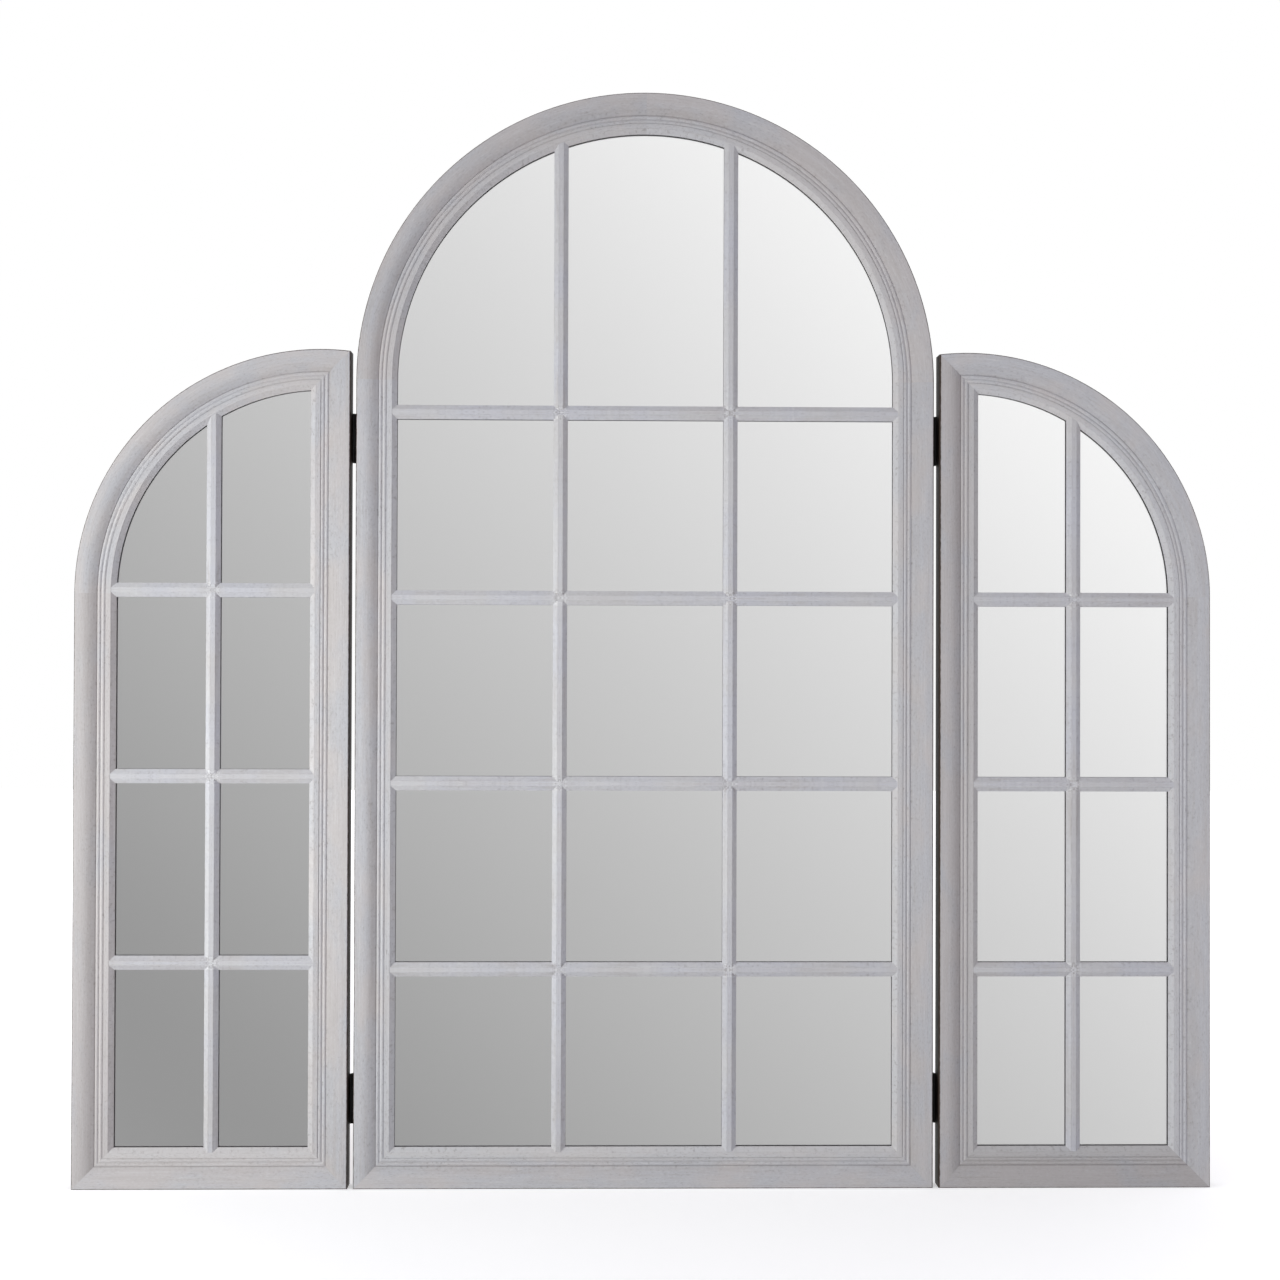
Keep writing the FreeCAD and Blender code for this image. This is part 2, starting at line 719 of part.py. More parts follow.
def build_centre(parts):
    centre_fasteners(parts)
    crown_peg, crown_bore = dowel("centre_crown_dowel", "0", "size.centre_height - size.dowel_inset", LEVEL)
    parts.make_room(crown_bore, ["arch"])

    stile_loss, rail_loss = bottom_mitre("centre_corner", HALF_CENTRE, "-1")
    stile = place(run("centre_stile_blank", moulding, centre.springline), HALF_CENTRE, BACK, "0", RUN_UP)
    stile_losses = [stile_loss, *parts.holes["hinge_stile"]]
    keep_pair(cut_by("centre_stile", stile, stile_losses), "centre_{side}_stile")
    arch = swing("centre_arch_blank", moulding, HALF_CENTRE, "90")
    place(arch, HALF_CENTRE, BACK, centre.springline, RUN_UP)
    keep_pair(cut_by("centre_arch", arch, parts.holes["arch"]), "centre_{side}_arch")
    rail = run("centre_rail_blank", moulding, "size.centre_width")
    place(rail, f"-{HALF_CENTRE}", BACK, "0", RUN_RIGHT)
    keep(cut_by("centre_rail", rail, both_sides([rail_loss, *parts.holes["rail"]])), "centre_bottom_rail")

    light = f"((size.centre_width - 2 * {FRAME_WIDTH} - 2 * size.bar_width) / {CENTRE_LIGHTS})"
    from_middle = f"({light} + size.bar_width) / 2"
    uprights = {"left_upright_bar": f"-{from_middle}", "right_upright_bar": from_middle}
    bars = lattice("centre", centre, opening(centre), uprights, row_heights(CENTRE_ROWS))
    for name, bar in bars.items():
        keep(bar, f"centre_{name}")
    glass, backing = sheets(centre)
    keep(glass, "centre_mirror_glass")
    keep(backing, "centre_backing_board")
    pegs = both_sides(parts.solids["frame_dowels"]) + [crown_peg]
    keep(group("centre_dowel_group", pegs), "centre_frame_dowels")
    keep(group("centre_tab_group", both_sides(parts.solids["backing_tabs"])), "centre_backing_tabs")
    keep(group("centre_screw_group", both_sides(parts.solids["hinge_screws"])), "centre_hinge_screws")
    keep(group("keyhole_screw_group", both_sides(parts.solids["keyhole_screws"])), "keyhole_screws")


# Wings


def wing_fasteners(parts):
    in_outer = f"{WING_OUTER} - size.dowel_inset"
    in_inner = f"{WING_INNER} + size.dowel_inset"
    outer_wall = f"({WING_OUTER} - {REBATE_WALL})"
    inner_wall = f"({WING_INNER} + {REBATE_WALL})"
    arch_wall = f"({wing.radius} - {REBATE_WALL})"
    arch_across = f"{wing.arch_middle} + {arch_wall} * cos(size.arch_tab_angle)"
    arch_height = f"{wing.springline} + {arch_wall} * sin(size.arch_tab_angle)"
    mitre_lean = f"atan(({wing.top_at('0')} - {wing.top_at(FRAME_WIDTH)}) / {FRAME_WIDTH})"
    first_row_up = "size.first_row_height + size.row_pitch"
    parts.fit_dowels(
        "wing",
        {
            "outer_corner": (in_outer, "size.dowel_inset", ACROSS_RIGHT_CORNER, ["outer_stile", "rail"]),
            "inner_corner": (in_inner, "size.dowel_inset", ACROSS_LEFT_CORNER, ["hinge_stile", "rail"]),
            "top": (in_inner, wing.top_at("size.dowel_inset"), mitre_lean, ["hinge_stile", "arch"]),
            "springing": (in_outer, wing.springline, UPRIGHT, ["outer_stile", "arch"]),
        },
    )
    parts.fit_tabs(
        "wing",
        {
            "outer_low": (outer_wall, "size.first_row_height", TO_THE_RIGHT, "outer_stile"),
            "outer_high": (outer_wall, first_row_up, TO_THE_RIGHT, "outer_stile"),
            "inner_low": (inner_wall, "size.first_row_height", TO_THE_LEFT, "hinge_stile"),
            "inner_high": (inner_wall, first_row_up, TO_THE_LEFT, "hinge_stile"),
            "rail": (f"({WING_INNER} + {WING_OUTER}) / 2", REBATE_WALL, DOWNWARD, "rail"),
            "arch": (arch_across, arch_height, "size.arch_tab_angle", "arch"),
        },
    )


def build_wing(parts):
    wing_fasteners(parts)
    outer_loss, rail_outer_loss = bottom_mitre("wing_outer_corner", WING_OUTER, "-1")
    inner_loss, rail_inner_loss = bottom_mitre("wing_inner_corner", WING_INNER, "1")
    inner_top_loss, arch_loss = top_mitre(wing)
    top = f"({wing.springline} + {wing.radius})"
    past_crown = f"asin((size.wing_width - {wing.radius}) / {wing.radius})"
    spare_angle = f"atan(size.rebate_width / {wing.radius})"

    outer = place(run("wing_outer_blank", moulding, wing.springline), WING_OUTER, BACK, "0", RUN_UP)
    inner = place(run("wing_inner_blank", moulding, top), WING_INNER, BACK, top, RUN_DOWN)
    rail = place(run("wing_rail_blank", moulding, "size.wing_width"), WING_INNER, BACK, "0", RUN_RIGHT)
    arch = swing("wing_arch_blank", moulding, wing.radius, f"90 deg + {past_crown} + {spare_angle}")
    place(arch, WING_OUTER, BACK, wing.springline, RUN_UP)
    members = {
        "outer_stile": (outer, [outer_loss, *parts.holes["outer_stile"]]),
        "inner_stile": (inner, [inner_loss, inner_top_loss, *parts.holes["hinge_stile"]]),
        "bottom_rail": (rail, [rail_outer_loss, rail_inner_loss, *parts.holes["rail"]]),
        "arch": (arch, [arch_loss, *parts.holes["arch"]]),
    }
    for name, (blank, losses) in members.items():
        keep_pair(cut_by(f"wing_{name}", blank, losses), f"{{side}}_wing_{name}")

    uprights = {"upright_bar": f"({WING_INNER} + {WING_OUTER}) / 2"}
    wing_opening = opening(wing)
    rows = row_heights(WING_ROWS)
    lifted_rows = row_heights(WING_ROWS, "size.left_wing_row_lift")
    for name, bar in lattice("right_wing", wing, wing_opening, uprights, rows).items():
        keep(bar, f"right_wing_{name}")
    for name, bar in lattice("left_wing", wing, wing_opening, uprights, lifted_rows).items():
        keep(mirrored(bar), f"left_wing_{name}")
    glass, backing = sheets(wing)
    keep_pair(glass, "{side}_wing_mirror_glass")
    keep_pair(backing, "{side}_wing_backing_board")
    for kind, solids in parts.solids.items():
        keep_pair(group(f"wing_{kind}_group", solids), f"{{side}}_wing_{kind}")


def write_pieces():
    doc.recompute()
    for item in doc.Objects:
        if "Invalid" in item.State or "Error" in item.State:
            raise RuntimeError(f"{item.Name} failed: {item.State}")
    for piece in pieces:
        if piece.Shape.isNull() or not piece.Shape.isValid() or not piece.Shape.Solids:
            raise RuntimeError(f"{piece.Label} has no valid solid")
    os.makedirs("parts", exist_ok=True)
    for piece in pieces:
        piece.Shape.exportStep(f"parts/{piece.Label}.step")


centre_parts = Fasteners()
wing_parts = Fasteners()
hinge("lower_hinge", lower_hinge, centre_parts, wing_parts)
hinge("upper_hinge", upper_hinge, centre_parts, wing_parts)
keyhole_plate(centre_parts)
build_centre(centre_parts)
build_wing(wing_parts)
write_pieces()
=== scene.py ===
import math

import bmesh
import bpy
from mathutils import Matrix, Vector


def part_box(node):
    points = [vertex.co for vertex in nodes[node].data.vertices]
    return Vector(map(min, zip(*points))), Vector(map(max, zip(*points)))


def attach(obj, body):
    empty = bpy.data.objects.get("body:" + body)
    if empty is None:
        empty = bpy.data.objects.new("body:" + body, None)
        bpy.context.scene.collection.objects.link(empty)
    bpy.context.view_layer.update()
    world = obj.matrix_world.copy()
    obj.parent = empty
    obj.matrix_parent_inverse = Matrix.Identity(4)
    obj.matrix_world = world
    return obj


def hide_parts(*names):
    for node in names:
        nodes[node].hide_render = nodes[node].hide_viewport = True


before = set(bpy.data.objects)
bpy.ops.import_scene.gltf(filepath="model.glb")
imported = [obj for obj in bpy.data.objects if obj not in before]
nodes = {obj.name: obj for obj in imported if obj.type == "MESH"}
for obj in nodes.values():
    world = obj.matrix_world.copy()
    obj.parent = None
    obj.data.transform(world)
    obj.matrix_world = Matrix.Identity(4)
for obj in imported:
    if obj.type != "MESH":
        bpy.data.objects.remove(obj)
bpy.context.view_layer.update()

PANELS = ("centre", "left_wing", "right_wing")

# Levels that the frame gives, in metres: the panels' back, the moulding's width, the rebate's depth
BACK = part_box("centre_bottom_rail")[1].y
FRAME_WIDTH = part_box("centre_bottom_rail")[1].z
REBATE_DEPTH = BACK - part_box("centre_mirror_glass")[0].y

# Steps of the moulding, as insets from the outer edge or as widths, and half the flat top of a bar
BAND_END = 0.0218
BEAD_PITCH = 0.0043
GROOVE_HALF_WIDTH = 0.00025
BEVEL_WIDTH = 0.0051
REBATE_WALL = 0.033
BAR_HALF_CROWN = 0.0025

# The wash in its warm and its cool clouds, on the frames and on the bars
FRAME_WARM = (0.590, 0.560, 0.562)
FRAME_COOL = (0.550, 0.550, 0.580)
BAR_WARM = (0.594, 0.587, 0.603)
BAR_COOL = (0.576, 0.578, 0.625)

# The wash where the brush left it thin or thick, drawn paler towards the mirrors as painted light, and dabbed
# on where bars cross
THIN_STROKE = (0.470, 0.446, 0.440)
THIN_BAND = (0.505, 0.474, 0.466)
THICK_STROKE = (0.690, 0.688, 0.694)
THICK_SPECK = (0.700, 0.700, 0.712)
PAINTED_LIGHT_NEAR_MIRROR = (0.690, 0.686, 0.692)
CROSSING_DAB = (0.765, 0.765, 0.780)

# Stained wood under the wash and on the sides of the frames, each in dark and in light grain
STAIN = ((0.060, 0.036, 0.026), (0.125, 0.080, 0.058))
SIDE_STAIN = ((0.026, 0.016, 0.012), (0.058, 0.038, 0.029))

# How light and how warm the wash is on each member of the frames, the lightness partly painted shade where
# the key's light falls off to the right; how much painted light makes it paler towards the mirror, most on
# the rails;
# how much dirt and painted shade darken the band towards the first groove and from which inset on; and how
# far the outer edge is rubbed bare
WASHES = {
    "centre_left_stile": {"tone": 1.01, "warmth": 0.20, "inner": 0.30, "band_dirt_and_shade": 0.17},
    "centre_right_stile": {"tone": 0.98, "warmth": 0.40, "inner": 0.35, "band_dirt_and_shade": 0.17},
    "centre_left_arch": {"tone": 0.95, "warmth": 0.60, "inner": 0.30, "band_dirt_and_shade": 0.12},
    "centre_right_arch": {"tone": 0.98, "warmth": 0.65, "inner": 0.35, "band_dirt_and_shade": 0.12},
    "centre_bottom_rail": {"tone": 0.99, "warmth": 0.40, "inner": 0.50, "band_dirt_and_shade": 0.06},
    "left_wing_outer_stile": {
        "tone": 0.985, "warmth": 0.95, "inner": 0.00, "band_dirt_and_shade": 0.19, "darkened_from": -0.002
    },
    "left_wing_inner_stile": {"tone": 1.00, "warmth": 0.50, "inner": 0.00, "band_dirt_and_shade": 0.17},
    "left_wing_arch": {"tone": 1.00, "warmth": 0.55, "inner": 0.15, "band_dirt_and_shade": 0.12},
    "left_wing_bottom_rail": {"tone": 1.03, "warmth": 0.60, "inner": 0.35, "band_dirt_and_shade": 0.06},
    "right_wing_outer_stile": {"tone": 1.04, "warmth": 0.10, "inner": 0.30, "band_dirt_and_shade": 0.17},
    # Painted shade: a low tone darkens this stile, where less of the key's light reaches it
    "right_wing_inner_stile": {
        "tone": 0.91, "warmth": 0.80, "inner": 0.40, "band_dirt_and_shade": 0.17, "edge_wear": 0.0006
    },
    "right_wing_arch": {"tone": 1.02, "warmth": 0.20, "inner": 0.30, "band_dirt_and_shade": 0.12},
    # Painted shade: a low tone darkens this rail, where less of the key's light reaches it
    "right_wing_bottom_rail": {"tone": 0.84, "warmth": 0.80, "inner": 0.55, "band_dirt_and_shade": 0.06},
}

# How much dirt lies in the three grooves beside the beads, from the outer one inwards
GROOVE_DIRT = (0.16, 0.05, 0.05)

# Widths of wear and dirt in metres: half a line, half the line on the bevel's edge, and the core of either,
# how far the dark sides fray over the front, how far up the bare back reaches, and the stretch of a bar that
# is scuffed on each side of a crossing
LINE_REACH = 0.0009
EDGE_REACH = 0.0010
LINE_CORE = 0.0002
FRAY_WIDTH = 0.0016
BACK_REACH = 0.0016
SCUFF_REACH = 0.012
SCUFF_CORE = 0.003

# The step in the noise from one member to the next, so that no two have the same streaks
SEED_STEP = 7.31

# The nodes of screws and the bodies that carry them
SCREW_BODIES = {
    "centre_hinge_screws": "centre",
    "keyhole_screws": "centre",
    "left_wing_hinge_screws": "left_wing",
    "right_wing_hinge_screws": "right_wing",
}

# Sizes of a screw in metres, and the number of sides that make its rounds
SHANK_RADIUS = 0.0014
SCREW_HEAD_HEIGHT = 0.0014
RIM_HEIGHT = 0.00015
RECESS_DEPTH = 0.0009
SCREW_SIDES = 24

# Shares of a screw head's radius: inside the broken rim, and the reach and half width of the cross's arms
RIM_SHARE = 0.94
RECESS_MOUTH = (0.54, 0.12)
RECESS_FLOOR = (0.30, 0.06)

# Where the shank starts to taper, as a share of the length, its tip, as a share of the shank's radius, and
# how far each screw is turned from the one before, in radians
TAPER_START = 0.75
TIP_SHARE = 0.1
SCREW_TURN = 0.7

# How far the silvering lies inside the rear face of the glass, and how close points are merged
SILVER_DEPTH = 0.00005
MERGE_DISTANCE = 1e-6

# Greys that the mirrors reflect, as levels on a screen: a slope that rises to the upper right, and a fainter
# one in the dark corner, with a smooth turn between them
REFLECTED_MIDDLE = 0.803
REFLECTED_RISE = 0.508
CORNER_MIDDLE = 0.525
CORNER_RISE = -0.16
BLEND_WIDTH = 0.06
SCREEN_GAMMA = 2.2

# Soft light from all round, brighter from above and below, a little brighter from the left
FILL_LEVEL = 0.225
FILL_UP_AND_DOWN = 0.85
FILL_TO_THE_RIGHT = -0.04
FILL_RED = 1.015
FILL_BLUE = 1.065

# The key lamp, at the front left
KEY_SPOT = (-2.35, -1.45, 0.50)
KEY_TARGET = (-0.28, 0.0, 0.45)
KEY_SIZE = 0.5
KEY_POWER = 4.0
KEY_TINT = (0.965, 1.0, 0.945)
KEY_SPREAD = math.radians(50)

# Half the floor's side, and its grey
FLOOR_REACH = 6.0
FLOOR_GREY = 0.80

# The camera, fitted to the outlines of the panels, with lens and sensor in millimetres
CAMERA_SPOT = (-0.0434, -2.0, 0.5397)
CAMERA_TURN = math.radians(-1.097)
CAMERA_TILT = math.radians(90.559)
CAMERA_ROLL = math.radians(0.172)
CAMERA_LENS = 54.78
CAMERA_SENSOR = 36.0


# Shader nodes


class Shader:
    """Adds nodes to the tree of a material or of the world. Most calls return a socket for the next one."""

    def __init__(self, tree):
        self.tree = tree

    def put(self, socket, value):
        if isinstance(value, bpy.types.NodeSocket):
            self.tree.links.new(value, socket)
        else:
            socket.default_value = value

    def add(self, kind, inputs=None, **settings):
        node = self.tree.nodes.new(kind)
        for name, value in settings.items():
            setattr(node, name, value)
        for name, value in (inputs or {}).items():
            self.put(node.inputs[name], value)
        return node

    def math(self, operation, *values):
        node = self.add("ShaderNodeMath", operation=operation)
        for socket, value in zip(node.inputs, values):
            self.put(socket, value)
        return node.outputs[0]

    def span(self, value, low, high, start=0.0, end=1.0):
        """Start on low's side, end on high's side, and a smooth step between them."""
        node = self.add("ShaderNodeMapRange", interpolation_type="SMOOTHSTEP")
        for name, number in (("From Min", low), ("From Max", high), ("To Min", start), ("To Max", end)):
            self.put(node.inputs[name], number)
        self.put(node.inputs["Value"], value)
        return node.outputs["Result"]

    def away(self, value, place):
        return self.math("ABSOLUTE", self.math("SUBTRACT", value, place))

    def vector(self, x, y, z):
        return self.add("ShaderNodeCombineXYZ", {"X": x, "Y": y, "Z": z}).outputs[0]

    def noise(self, vector, scale=1.0, detail=2.0, roughness=0.5, distortion=0.0):
        inputs = {"Vector": vector, "Scale": scale, "Detail": detail, "Roughness": roughness}
        inputs["Distortion"] = distortion
        return self.add("ShaderNodeTexNoise", inputs).outputs["Fac"]

    def mix(self, factor, first, second):
        node = self.add("ShaderNodeMix", data_type="RGBA")
        for name, value in (("Factor_Float", factor), ("A_Color", first), ("B_Color", second)):
            self.put(next(s for s in node.inputs if s.identifier == name), value)
        return next(s for s in node.outputs if s.identifier == "Result_Color")

    def bump(self, height, strength, distance):
        inputs = {"Height": height, "Strength": strength, "Distance": distance}
        return self.add("ShaderNodeBump", inputs).outputs["Normal"]

    def place(self):
        """The three coordinates of a point on the piece, in metres, fixed to the piece."""
        point = self.add("ShaderNodeTexCoord").outputs["Object"]
        return self.add("ShaderNodeSeparateXYZ", {"Vector": point}).outputs

    def surface(self, **inputs):
        sockets = {name.replace("_", " "): value for name, value in inputs.items()}
        shader = self.add("ShaderNodeBsdfPrincipled", sockets)
        out = self.add("ShaderNodeOutputMaterial")
        self.tree.links.new(shader.outputs[0], out.inputs["Surface"])


def new_material(name):
    material = bpy.data.materials.new(name)
    material.use_nodes = True
    material.node_tree.nodes.clear()
    return material, Shader(material.node_tree)


def colour(red, green, blue):
    return (red, green, blue, 1.0)


# Coordinates of the members: along a member, inset from its outer edge, height above its back


def upright_run(edge, inward):
    """A member that stands at an outer edge."""

    def coordinates(shader):
        x, y, z = shader.place()
        inset = shader.math("MULTIPLY", shader.math("SUBTRACT", x, edge), inward)
        return z, inset, shader.math("SUBTRACT", BACK, y)

    return coordinates


def level_run(shader):
    """A bottom rail, whose outer edge is at height 0."""
    x, y, z = shader.place()
    return x, z, shader.math("SUBTRACT", BACK, y)


def arched_run(middle_x, middle_z, radius):
    def coordinates(shader):
        x, y, z = shader.place()
        across = shader.math("SUBTRACT", x, middle_x)
        up = shader.math("SUBTRACT", z, middle_z)
        across_squared = shader.math("MULTIPLY", across, across)
        reach = shader.math("SQRT", shader.math("MULTIPLY_ADD", up, up, across_squared))
        along = shader.math("MULTIPLY", shader.math("ARCTAN2", up, across), radius)
        return along, shader.math("SUBTRACT", radius, reach), shader.math("SUBTRACT", BACK, y)

    return coordinates


def bar_run(level, middle):
    """A bar, whose inset is counted from its middle line to both sides."""

    def coordinates(shader):
        x, y, z = shader.place()
        along, across = (x, z) if level else (z, x)
        return along, shader.away(across, middle), shader.math("SUBTRACT", BACK, y)

    return coordinates


# Dark wood under a thin grey-white wash that the brush has streaked along the grain


class Grain:
    """Coordinates on one member, and noise that is drawn out along it."""

    def __init__(self, shader, coordinates, seed):
        self.shader = shader
        self.along, self.inset, self.rise = coordinates(shader)
        self.across = shader.math("ADD", self.inset, self.rise)
        self.offset = seed * SEED_STEP
        self.brush = self.streaks(length=0.040, width=0.0012, detail=4.0, roughness=0.65, distortion=0.15)
        self.bands = self.streaks(length=0.16, width=0.006, detail=3.0, roughness=0.5, distortion=0.4)
        self.clouds = self.streaks(length=0.07, width=0.030, detail=3.0, roughness=0.6)
        self.specks = self.streaks(length=0.0035, width=0.0011, detail=3.0, roughness=0.65)
        self.chips = self.streaks(length=0.006, width=0.0016, detail=4.0, roughness=0.7)

    def streaks(self, length, width, detail, roughness, distortion=0.0):
        shifted = self.shader.math("MULTIPLY_ADD", self.along, 1 / length, self.offset)
        vector = self.shader.vector(shifted, self.shader.math("DIVIDE", self.across, width), self.offset)
        return self.shader.noise(vector, detail=detail, roughness=roughness, distortion=distortion)

    def stained(self, tones):
        dark, light = tones
        return self.shader.mix(self.brush, colour(*dark), colour(*light))

    def worn_specks(self, further):
        """Specks that are worn through the wash, more so in thin clouds and by a further share."""
        thin = self.shader.math("ADD", self.shader.span(self.clouds, 0.34, 0.60, 0.08, 0.22), further)
        return self.shader.math("MULTIPLY", self.shader.span(self.specks, 0.53, 0.72), thin)

    def line_at(self, inset, reach):
        """1 on a line along the member, fading to 0 at a reach to both sides."""
        return self.shader.span(self.shader.away(self.inset, inset), reach, LINE_CORE)

    def rubbed_edge(self, inset, reach):
        """Wear on an edge that runs along the member, where the noise of the chips is high."""
        rubs = self.shader.span(self.chips, 0.40, 0.66)
        rubbed = self.shader.math("MULTIPLY", self.line_at(inset, reach), rubs)
        return self.shader.math("MULTIPLY", rubbed, 0.12)


def toned(levels, tone):
    return colour(*(level * tone for level in levels))


def brushed_wash(grain, warm, cool, tone=1.0, warmth=0.5):
    """Warm and cool clouds, with thin strokes and bands and thick strokes and specks over them."""
    shader = grain.shader
    warm_below = 0.22 + 0.28 * warmth
    clouds = shader.span(grain.clouds, warm_below, warm_below + 0.28)
    wash = shader.mix(clouds, toned(warm, tone), toned(cool, tone))
    wash = shader.mix(shader.span(grain.brush, 0.50, 0.74, 0.0, 0.50), wash, toned(THIN_STROKE, tone))
    wash = shader.mix(shader.span(grain.bands, 0.45, 0.75, 0.0, 0.40), wash, toned(THIN_BAND, tone))
    wash = shader.mix(shader.span(grain.brush, 0.46, 0.26, 0.0, 0.45), wash, toned(THICK_STROKE, tone))
    return shader.mix(shader.span(grain.specks, 0.46, 0.28, 0.0, 0.40), wash, toned(THICK_SPECK, tone))


def finish_wood(grain, wash, bare, wear_and_shade):
    """Bare wood where the wash is worn off, where painted shade darkens a frame, and on the back, with the
    brush in the sheen and in the relief.
    """
    shader = grain.shader
    wear_and_shade = shader.math("MAXIMUM", wear_and_shade, shader.span(grain.rise, BACK_REACH, BACK_REACH - 0.001))
    relief = shader.math("ADD", grain.brush, shader.math("MULTIPLY", grain.specks, -0.5))
    shader.surface(
        Base_Color=shader.mix(wear_and_shade, wash, bare),
        Roughness=shader.math("MULTIPLY_ADD", grain.brush, 0.22, 0.50),
        Specular_IOR_Level=0.35,
        Normal=shader.bump(relief, 0.35, 0.0004),
    )


def frame_wood(
    name, coordinates, seed, tone, warmth, inner, band_dirt_and_shade, darkened_from=0.006, edge_wear=0.0
):
    """A frame member's wood, with dirt in the grooves, dirt and painted shade before them, painted light
    towards the mirror, dark sides, and painted shade in the rebate drawn as bare dark wood.
    """
    material, shader = new_material(name)
    grain = Grain(shader, coordinates, seed)
    inset = grain.inset
    wash = brushed_wash(grain, FRAME_WARM, FRAME_COOL, tone, warmth)
    # Painted light: the wash is drawn paler over the shelf and bevel towards the mirror, standing in for
    # light falling on them
    if inner:
        painted_light_share = shader.span(inset, BAND_END, FRAME_WIDTH - BEVEL_WIDTH / 2, 0.0, inner)
        wash = shader.mix(painted_light_share, wash, toned(PAINTED_LIGHT_NEAR_MIRROR, tone))

    wear_and_shade = grain.worn_specks(shader.span(inset, BAND_END - 0.001, BAND_END, 0.0, 0.10))
    # Dirt and painted shade: the band is drawn darker towards the first groove, where its rounded face turns
    # away from the light
    dirt_and_shade = shader.span(inset, darkened_from, BAND_END, 0.0, band_dirt_and_shade)
    dirt_and_shade = shader.math("MULTIPLY", dirt_and_shade, shader.span(inset, BAND_END, BAND_END + 0.0012, 1.0, 0.0))
    wear_and_shade = shader.math("ADD", wear_and_shade, dirt_and_shade)

    frayed = shader.math("MULTIPLY_ADD", grain.chips, -FRAY_WIDTH, inset)
    side = shader.span(frayed, edge_wear + 0.0004, edge_wear - 0.0005)
    bare = shader.mix(side, grain.stained(STAIN), grain.stained(SIDE_STAIN))
    wear_and_shade = shader.math("MAXIMUM", wear_and_shade, side)

    for number, depth in enumerate(GROOVE_DIRT):
        groove = grain.line_at(BAND_END + GROOVE_HALF_WIDTH + number * BEAD_PITCH, LINE_REACH)
        line = shader.math("MULTIPLY", groove, depth)
        patchy = shader.math("MULTIPLY", line, shader.span(grain.clouds, 0.25, 0.60, 0.45, 1.0))
        wear_and_shade = shader.math("MAXIMUM", wear_and_shade, patchy)
    wear_and_shade = shader.math("MAXIMUM", wear_and_shade, grain.rubbed_edge(FRAME_WIDTH - BEVEL_WIDTH, EDGE_REACH))

    # Painted shade: the rebate's faces behind the glass are drawn as bare dark wood, standing for the shadow
    # in the gap at the sight edge
    past_wall = shader.span(inset, REBATE_WALL - 0.0006, REBATE_WALL - 0.0002)
    below_ledge = shader.span(grain.rise, REBATE_DEPTH - 0.0004, REBATE_DEPTH - 0.0008)
    wear_and_shade = shader.math("MAXIMUM", wear_and_shade, shader.math("MULTIPLY", past_wall, below_ledge))
    finish_wood(grain, wash, bare, wear_and_shade)
    return material


def bar_wood(name, coordinates, seed, crossings):
    """A bar's wood, with dabs of wash and scuffs where other bars cross it."""
    material, shader = new_material(name)
    grain = Grain(shader, coordinates, seed)
    wash = brushed_wash(grain, BAR_WARM, BAR_COOL)
    wear_and_shade = grain.worn_specks(0.0)
    wear_and_shade = shader.math("MAXIMUM", wear_and_shade, grain.rubbed_edge(BAR_HALF_CROWN, LINE_REACH))
    blotches = grain.streaks(length=0.0022, width=0.0014, detail=3.0, roughness=0.6, distortion=0.5)
    for crossing in crossings:
        near = shader.span(shader.away(grain.along, crossing), SCUFF_REACH, SCUFF_CORE)
        dabs = shader.math("MULTIPLY", near, shader.span(blotches, 0.50, 0.38, 0.0, 0.75))
        wash = shader.mix(dabs, wash, colour(*CROSSING_DAB))
        scuffs = shader.math("MULTIPLY", near, shader.span(blotches, 0.53, 0.62, 0.0, 0.34))
        wear_and_shade = shader.math("MAXIMUM", wear_and_shade, scuffs)
    finish_wood(grain, wash, grain.stained(STAIN), wear_and_shade)
    return material


# Other materials


def fibre_board():
    """Pressed brown hardboard with fibres, darker flecks and a slight mottle."""
    material, shader = new_material("fibre_board")
    x, y, z = shader.place()
    point = shader.vector(x, y, z)
    mottle = shader.noise(point, 34.0, 7.0, 0.78)
    fibres = shader.noise(point, 620.0, 5.0, 0.7, 1.2)
    flecks = shader.noise(point, 1500.0, 2.0, 0.5)
    dark = colour(0.200, 0.124, 0.074)
    light = colour(0.258, 0.166, 0.102)
    tone = shader.mix(shader.span(mottle, 0.30, 0.70), dark, light)
    tone = shader.mix(shader.span(fibres, 0.50, 0.72, 0.0, 0.6), tone, colour(0.330, 0.225, 0.145))
    tone = shader.mix(shader.span(flecks, 0.63, 0.72, 0.0, 0.7), tone, colour(0.080, 0.048, 0.030))
    rough = shader.math("MULTIPLY_ADD", fibres, 0.25, 0.55)
    shader.surface(Base_Color=tone, Roughness=rough, Normal=shader.bump(fibres, 0.3, 0.0002))
    return material


def plain_beech():
    material, shader = new_material("plain_beech")
    x, y, z = shader.place()
    grain = shader.noise(shader.vector(x, y, z), 900.0, 3.0, 0.6, 0.8)
    tone = shader.mix(grain, colour(0.62, 0.43, 0.26), colour(0.78, 0.60, 0.40))
    shader.surface(Base_Color=tone, Roughness=shader.math("MULTIPLY_ADD", grain, 0.2, 0.5))
    return material


